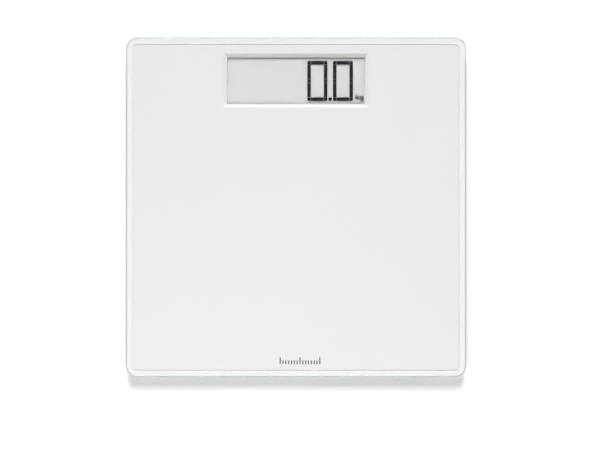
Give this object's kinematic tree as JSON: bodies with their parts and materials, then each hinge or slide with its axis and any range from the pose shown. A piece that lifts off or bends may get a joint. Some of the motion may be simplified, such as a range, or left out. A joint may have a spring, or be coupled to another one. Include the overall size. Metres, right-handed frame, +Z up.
{
  "type": "digital bathroom scale",
  "caption": "Square digital bathroom scale: a glass platform with a display window, on a moulded tray with load cell feet.",
  "frame": {"origin": "on the floor, under the middle of the scale, with its feet standing on the floor", "axes": "+Z up, +X to the user's right, +Y towards the display end"},
  "size_m": [0.3, 0.3, 0.022],
  "materials": {
    "clear_glass": "polished toughened glass",
    "grey_print": "screen print on the back of glass",
    "black_print": "screen print on the back of glass",
    "foam_tape": "closed-cell foam",
    "white_bezel": "satin moulded plastic",
    "display_glass": "thin clear glass",
    "segment_ink": "darkened liquid crystal",
    "display_reflector": "frosted silver film",
    "striped_rubber": "layered silicone rubber",
    "board_laminate": "solder-masked laminate",
    "black_epoxy": "cured resin",
    "bright_tin": "tinned metal",
    "chip_ceramic": "fired ceramic",
    "switch_plastic": "moulded plastic",
    "plunger_plastic": "moulded plastic",
    "zinc_screw": "zinc-plated steel",
    "white_tray": "finely textured moulded plastic",
    "coin_steel": "nickel-plated steel",
    "contact_bronze": "spring bronze",
    "contact_nickel": "nickel-plated spring steel",
    "grey_button": "moulded plastic",
    "label_film": "blank sticker",
    "gauge_film": "amber film",
    "gauge_sealant": "white silicone",
    "pressed_steel": "stamped nickel-plated steel",
    "holder_plastic": "moulded plastic",
    "foot_plastic": "finely textured moulded plastic",
    "grey_rubber": "soft moulded rubber",
    "red_insulation": "flexible insulation",
    "white_insulation": "flexible insulation",
    "black_insulation": "flexible insulation"
  },
  "bodies": {
    "scale": {"glass_platform": "clear_glass", "back_print": "grey_print", "print_mark": "black_print", "platform_tape": "foam_tape", "holder_pads": "foam_tape", "display_bezel": "white_bezel", "lcd_front_glass": "display_glass", "lcd_segments": "segment_ink", "lcd_rear_glass": "display_glass", "lcd_reflector": "display_reflector", "contact_strip": "striped_rubber", "main_board": "board_laminate", "controller_blob": "black_epoxy", "crystal": "bright_tin", "chip_parts": "chip_ceramic", "solder_joints": "bright_tin", "switch_body": "switch_plastic", "display_screws": "zinc_screw", "base_tray": "white_tray", "coin_cell": "coin_steel", "battery_negative_contact": "contact_bronze", "battery_positive_contact": "contact_nickel", "rating_label": "label_film", "strain_gauges": "gauge_film", "gauge_sealant": "gauge_sealant", "holder_screws": "zinc_screw", "red_leads": "red_insulation", "white_leads": "white_insulation", "black_leads": "black_insulation", "load_cell_front_left": "pressed_steel", "load_cell_front_right": "pressed_steel", "load_cell_rear_left": "pressed_steel", "load_cell_rear_right": "pressed_steel", "load_cell_holder_front_left": "holder_plastic", "load_cell_holder_front_right": "holder_plastic", "load_cell_holder_rear_left": "holder_plastic", "load_cell_holder_rear_right": "holder_plastic"},
    "battery_door": {"battery_door": "white_tray"},
    "unit_button": {"unit_button": "grey_button", "switch_plunger": "plunger_plastic"},
    "foot_front_left": {"foot_carrier_front_left": "foot_plastic", "foot_pad_front_left": "grey_rubber"},
    "foot_front_right": {"foot_carrier_front_right": "foot_plastic", "foot_pad_front_right": "grey_rubber"},
    "foot_rear_left": {"foot_carrier_rear_left": "foot_plastic", "foot_pad_rear_left": "grey_rubber"},
    "foot_rear_right": {"foot_carrier_rear_right": "foot_plastic", "foot_pad_rear_right": "grey_rubber"}
  },
  "joints": [
    {"name": "battery_door_hinge", "type": "hinge", "parent": "scale", "child": "battery_door", "pos_m": [0, 0.0299, 0.0043], "axis": [-1, 0, 0], "range_deg": [0, 85]},
    {"name": "unit_button_travel", "type": "slide", "parent": "scale", "child": "unit_button", "axis": [0, 0, 1], "range_m": [0, 0.0005], "stiffness_N_per_m": 800},
    {"name": "foot_front_left_travel", "type": "slide", "parent": "scale", "child": "foot_front_left", "axis": [0, 0, 1], "range_m": [-0.0012, 0]},
    {"name": "foot_front_right_travel", "type": "slide", "parent": "scale", "child": "foot_front_right", "axis": [0, 0, 1], "range_m": [-0.0012, 0]},
    {"name": "foot_rear_left_travel", "type": "slide", "parent": "scale", "child": "foot_rear_left", "axis": [0, 0, 1], "range_m": [-0.0012, 0]},
    {"name": "foot_rear_right_travel", "type": "slide", "parent": "scale", "child": "foot_rear_right", "axis": [0, 0, 1], "range_m": [-0.0012, 0]}
  ]
}
